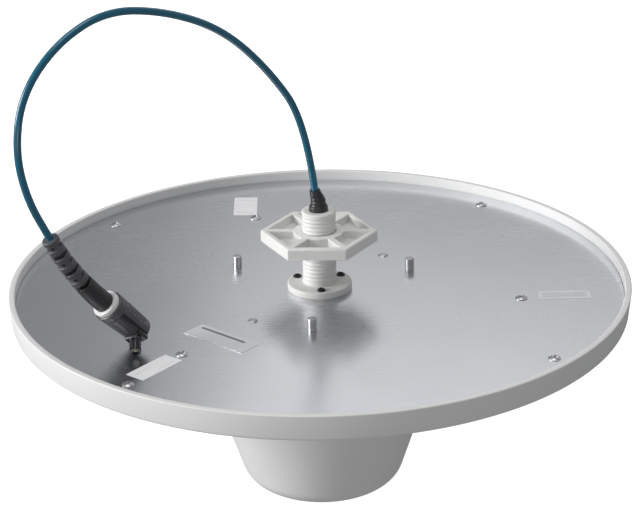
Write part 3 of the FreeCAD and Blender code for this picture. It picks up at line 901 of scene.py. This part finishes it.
def make_post_boot():
    """Strain relief: a collar on the stud's end, then a grooved taper that leans
    over with the cable."""
    first = in_plane(*pigtail_route[0]) * MM
    lean = (in_plane(*pigtail_route[1]) - in_plane(*pigtail_route[0])).normalized()
    base = UP * top_of("mounting_stud")
    collar = base + UP * post_boot_collar
    reach = (first - collar).length
    neck = post_boot_radius - post_boot_step
    centres = [base - UP * post_boot_sunk, base, base + UP * 0.3 * MM, collar - UP * 0.5 * MM,
               collar - UP * 0.15 * MM, collar]
    radii = [post_boot_radius] * 4 + [post_boot_radius - 0.15 * MM, neck + 0.2 * MM]
    bend = collar + UP * reach * post_boot_pull
    pull = first - lean * reach * post_boot_pull
    steps = 40
    for i in range(steps + 1):
        share = i / steps
        middle = (collar * (1 - share) ** 3 + 3 * bend * share * (1 - share) ** 2
                  + 3 * pull * share ** 2 * (1 - share) + first * share ** 3)
        groove = math.sin(math.pi * post_boot_grooves * min(share / post_boot_grooved, 1.0)) ** 8
        centres.append(middle + UP * 0.05 * MM * (1 - share))
        radii.append(neck + (post_boot_tip - neck) * share - post_boot_groove_depth * groove)
    bm = bmesh.new()
    swept(bm, centres, radii)
    boot = from_bmesh("post_boot_finished", bm, boot_black.material, 50)
    return stands_for(boot, "post_boot")


make_post_boot()


# ---- plug and its strain relief ----------------------------------------------
last_out = pigtail_route[-2][0] - pigtail_route[-1][0]
last_up = pigtail_route[-2][1] - pigtail_route[-1][1]
boot_tilt = math.atan2(last_up, last_out)
boot_bend = boot_length / boot_turn


def boot_point(distance):
    """A point on the boot's bent centre line, this far from its cable end."""
    tilt = boot_tilt - distance / boot_bend
    out = boot_bend * (math.sin(boot_tilt) - math.sin(tilt))
    down = boot_bend * (math.cos(tilt) - math.cos(boot_tilt))
    end = in_plane(*pigtail_route[-1]) * MM
    return end - OUT * out - UP * down


def boot_radius(distance):
    return boot_radii[0] + (boot_radii[1] - boot_radii[0]) * distance / boot_length


def boot_link():
    """One ring of the boot, and two webs that tie it to the next ring."""
    bm = bmesh.new()
    half = boot_link_width / 2
    outline = rounded([(0, -half, 0), (boot_radii[0], -half, boot_link_edge),
                       (boot_radii[0], half, boot_link_edge), (0, half, 0)], 4)
    turned(bm, outline, 40)
    reach = boot_radii[0] - boot_web_inset
    root = boot_core_radius * boot_web_root
    for side in (-1, 1):
        made = bmesh.ops.create_cube(bm, size=1)["verts"]
        size = Vector((reach - root, boot_web_width, boot_link_pitch))
        middle = Vector((side * (reach + root) / 2, 0, boot_link_pitch / 2))
        for vert in made:
            vert.co = Vector(a * b for a, b in zip(vert.co, size)) + middle
    mesh = bpy.data.meshes.new("boot_link")
    bmesh.ops.recalc_face_normals(bm, faces=bm.faces)
    bm.to_mesh(mesh)
    bm.free()
    return place("boot_link", mesh, boot_black.material)


def guide(name, points):
    """A plain path for a row of pieces to follow."""
    curve = bpy.data.curves.new(name, "CURVE")
    curve.dimensions = "3D"
    line = curve.splines.new("POLY")
    line.points.add(len(points) - 1)
    for point, where in zip(line.points, points):
        point.co = (*where, 1)
    path = bpy.data.objects.new(name, curve)
    bpy.context.scene.collection.objects.link(path)
    return path


def make_boot():
    links_end = boot_link_width / 2 + boot_link_pitch * (boot_links - 1)
    first = boot_link_width / 2
    steps = 24
    path = guide("boot_guide", [boot_point(first + (links_end - first) * i / steps)
                                for i in range(steps + 1)])
    grown = boot_radius(links_end) / boot_radii[0]
    # The rings take the lighter copy of the black rubber: painted light on their lit faces.
    links = repeated("boot_links", along_a_path, boot_link(), boot_painted_lit.material, (path,),
                     Path=path, Count=boot_links, Start_scale=1.0, End_scale=grown,
                     Turn=math.pi / 2)
    sleeve_start = links_end + boot_link_pitch - boot_link_width / 2
    bm = bmesh.new()
    distances = [boot_core_start + (sleeve_start - boot_core_start) * i / steps
                 for i in range(steps + 1)]
    swept(bm, [boot_point(d) for d in distances], [boot_core_radius] * len(distances))
    body = [(sleeve_start, boot_lip), (sleeve_start + 0.15 * MM, boot_lip / 3),
            (sleeve_start + boot_lip, 0)]
    body += [(sleeve_start + boot_lip + (boot_length - sleeve_start - 2 * boot_lip) * i / steps, 0)
             for i in range(1, steps + 1)]
    body += [(boot_length - 0.1 * MM, 0), (boot_length, 0.1 * MM)]
    swept(bm, [boot_point(d) for d, inset in body],
          [boot_radius(d) - inset for d, inset in body])
    core = from_bmesh("boot_sleeve", bm, boot_black.material, 40)
    stands_for(links, "connector_boot")
    stands_for(core, "connector_boot")
    return [links, core]


boot_pieces = make_boot()

sleeve_joint = joints["sleeve_turn"]
spigot_axis = Vector(sleeve_joint["axis"]).normalized()
elbow = Vector(sleeve_joint["pos_m"]) - spigot_axis * elbow_to_sleeve
plug_axis = (centre("connector_ring") - elbow).normalized()
side_axis = plug_axis.cross(spigot_axis)
plug_place = Matrix.Translation(elbow) @ Matrix(
    (spigot_axis, side_axis, plug_axis)).transposed().to_4x4()


def plug_radius(z):
    span = (z + plug_tail) / (plug_length + plug_tail)
    return plug_low_radius + (plug_top_radius - plug_low_radius) * span


def make_ring():
    low, high = plug_length + ring_cover, plug_length + ring_length
    edge = 0.5 * MM
    bm = bmesh.new()
    outline = rounded([(0, low, 0), (ring_radius, low, 0.2 * MM), (ring_radius, high, edge),
                       (0, high, 0)])
    turned(bm, outline, 72, plug_place)
    return stands_for(from_bmesh("plug_ring", bm, ring_white.material), "connector_ring")


def make_plug_body():
    """Tapered barrel with a shallow groove below the ring, and its spigot's neck."""
    groove = plug_length - plug_groove
    depth = plug_groove_depth
    bm = bmesh.new()
    corners = [(0, -plug_tail, 0), (plug_low_radius, -plug_tail, plug_edge),
               (plug_radius(groove - depth), groove - depth, plug_groove_edge),
               (plug_radius(groove) - depth, groove, plug_groove_edge),
               (plug_radius(groove + depth), groove + depth, plug_groove_edge),
               (plug_top_radius, plug_length + ring_cover, 0.6 * MM),
               (0, plug_length + ring_cover, 0)]
    turned(bm, rounded(corners, 6), 96, plug_place)
    along = plug_place @ Matrix.Rotation(math.pi / 2, 4, "Y")
    neck = rounded([(0, 0, 0), (collar_radius, collar_start, 0.1 * MM),
                    (collar_radius, collar_end, 0.5 * MM), (neck_radius, collar_end, 0.3 * MM),
                    (neck_radius, neck_end, 0.25 * MM), (0, neck_end, 0)])
    turned(bm, neck, 64, along)
    # The barrel takes the lighter copy of the black plastic: painted light.
    body = from_bmesh("plug_barrel", bm, plug_painted_lit.material, 35)
    return stands_for(body, "connector_body")


def make_shade_band():
    """A band of the deeper black plastic that runs down the front of the barrel: painted shade, standing in for
    the dark middle of the barrel's sheen.
    """
    steps, spread = 6, math.radians(shade_band_spread)
    low, high = -plug_tail + plug_edge, plug_length - shade_band_end
    bm = bmesh.new()
    rows = []
    for z in (low, high):
        row = []
        for i in range(steps + 1):
            a = math.radians(shade_band_angle) - spread + 2 * spread * i / steps
            for lift in (-shade_band_sunk, shade_band_height):
                radius = plug_radius(z) + lift
                row.append(bm.verts.new((radius * math.cos(a), radius * math.sin(a), z)))
        rows.append(row[0::2] + row[1::2][::-1])
    count = len(rows[0])
    for i in range(count):
        j = (i + 1) % count
        bm.faces.new([rows[0][i], rows[0][j], rows[1][j], rows[1][i]])
    for row in rows:
        bm.faces.new(row)
    bm.transform(plug_place)
    shade_band = from_bmesh("plug_seam", bm, plug_black.material, 25)
    return stands_for(shade_band, "connector_body")


def make_elbow_block():
    """The square block that turns the barrel into the spigot."""
    low = Vector((0, -elbow_half_width, -plug_tail))
    high = Vector((elbow_reach, elbow_half_width, elbow_back))
    bm = bmesh.new()
    bmesh.ops.create_cube(bm, size=1)
    for vert in bm.verts:
        vert.co = Vector(a + (b - a) * (share + 0.5) for a, b, share in zip(low, high, vert.co))
    corners = [edge for edge in bm.edges if edge.calc_face_angle() > 1]
    bmesh.ops.bevel(bm, geom=corners, offset=elbow_edge, segments=4, profile=0.5,
                    affect="EDGES", clamp_overlap=True)
    bm.transform(plug_place)
    block = from_bmesh("plug_elbow", bm, plug_black.material, 35)
    return stands_for(block, "connector_body")


def grip_rib(side):
    """A rounded bar across the barrel, hugging its side."""
    bm = bmesh.new()
    steps, spread = 12, grip_length / plug_top_radius / 2
    loops = []
    for i in range(steps + 1):
        a = -spread + 2 * spread * i / steps
        fade = math.cos(a / spread * math.pi / 2) ** 0.4 if abs(a) < spread else 0
        loop = []
        for z, lift in grip_profile:
            radius = plug_top_radius + lift * grip_height * fade
            loop.append(bm.verts.new((math.sin(a) * radius, side * math.cos(a) * radius, z)))
        loops.append(loop)
    for low, high in zip(loops, loops[1:]):
        for i in range(len(low) - 1):
            bm.faces.new([low[i], low[i + 1], high[i + 1], high[i]])
        bm.faces.new([low[-1], low[0], high[0], high[-1]])
    bm.faces.new(loops[0])
    bm.faces.new(loops[-1])
    return from_bmesh("grip_rib", bm, plug_painted_lit.material, 60)


def make_grip(side):
    """Transverse ribs on one side of the barrel, following its taper."""
    high = grip_start + grip_pitch * (grip_ribs - 1)
    path = guide("grip_guide", [Vector((0, 0, grip_start)), Vector((0, 0, high))])
    ribs = repeated("grip_ribs", along_a_path, grip_rib(side), plug_painted_lit.material, (path,),
                    Path=path, Count=grip_ribs,
                    Start_scale=plug_radius(grip_start) / plug_top_radius,
                    End_scale=plug_radius(high) / plug_top_radius, Turn=0.0)
    ribs.data.transform(plug_place)
    ribs.name = "grip_ribs_" + ("right" if side > 0 else "left")
    return stands_for(ribs, "connector_body")


plug_pieces = [make_ring(), make_plug_body(), make_elbow_block(), make_shade_band(), make_grip(1),
               make_grip(-1)]
plug_pieces += [nodes[name] for name in ("connector_barrel", "coupling_sleeve",
                                         "contact_insulator", "centre_contact")]


# ---- labels -----------------------------------------------------------------
paper = ((0.90, 0.90, 0.91), (0.86, 0.86, 0.87), 0.45)
film = ((0.80, 0.805, 0.83), (0.76, 0.765, 0.79), 0.42, 0.55)
faint = (0.62, 0.62, 0.63)
grey = (0.20, 0.20, 0.20)
# pale: a painted highlight along the rating label's top edge, not print.
pale = (0.86, 0.86, 0.86)
label_finishes = {
    "approval_label": (paper, 0.0, [(0, 8.6, 9.0, 0.5, faint), (0, -8.6, 9.0, 0.5, faint)]),
    "serial_label": (paper, 51.0, [(-6.0, 1.6, 9.0, 0.4, faint), (5.0, -2.6, 10.0, 0.4, faint)]),
    # The rating label's pale bar is a painted highlight on the film's top edge.
    "rating_label": (film, -41.0, [(-2.0, 3.4, 27.0, 1.5, grey), (0, 5.9, 35.0, 0.6, pale)]),
    "port_label": (film, 0.0, [(0, 1.2, 21.0, 1.6, faint), (0, -1.6, 21.0, 1.6, faint)]),
}
for node, (stock, turn, bars) in label_finishes.items():
    finish = printed(label_stock(node + "_film", *stock), node, turn, bars)
    nodes[node].data.materials.clear()
    nodes[node].data.materials.append(finish.material)


# ---- floor and light --------------------------------------------------------
def make_floor():
    """A pale floor under the dome. It throws no light of its own up on the antenna."""
    bm = bmesh.new()
    bmesh.ops.create_grid(bm, x_segments=1, y_segments=1, size=floor_size)
    bmesh.ops.translate(bm, verts=bm.verts, vec=(0, 0, cad_box[0][2] - floor_gap))
    finish = Finish("pale_floor", (0.9, 0.9, 0.9), 0.9)
    finish.tinted(3, (0.88, 0.88, 0.88))
    finish.shader.inputs["Emission Color"].default_value = (1, 1, 1, 1)
    finish.shader.inputs["Emission Strength"].default_value = floor_glow
    floor = from_bmesh("floor", bm, finish.material)
    floor.visible_diffuse = False
    floor.visible_glossy = False


def soft_light(name, where, width, height, power, aim=(0, 0, 0)):
    data = bpy.data.lights.new(name, "AREA")
    data.shape = "RECTANGLE"
    data.size = width
    data.size_y = height
    data.energy = power
    light = bpy.data.objects.new(name, data)
    light.location = where
    light.rotation_euler = (Vector(where) - Vector(aim)).to_track_quat("Z", "Y").to_euler()
    bpy.context.scene.collection.objects.link(light)


def make_surroundings():
    world = bpy.data.worlds.new("studio")
    bpy.context.scene.world = world
    world.use_nodes = True
    air = world.node_tree.nodes["Background"]
    air.inputs["Color"].default_value = (0.98, 0.99, 1.0, 1)
    air.inputs["Strength"].default_value = sky_strength


make_floor()
make_surroundings()
soft_light("key_left", (-1.9, -0.35, 0.5), 1.0, 1.0, 38)
soft_light("overhead", (-0.2, -0.2, 1.9), 1.1, 1.1, 10)
soft_light("behind", (0.5, 1.2, 0.98), 1.5, 0.7, 2.6)
soft_light("low_front", (-0.05, -0.9, -0.08), 0.5, 0.15, 0.7, aim=(0, 0, -0.05))
bpy.context.scene.view_settings.view_transform = "Standard"
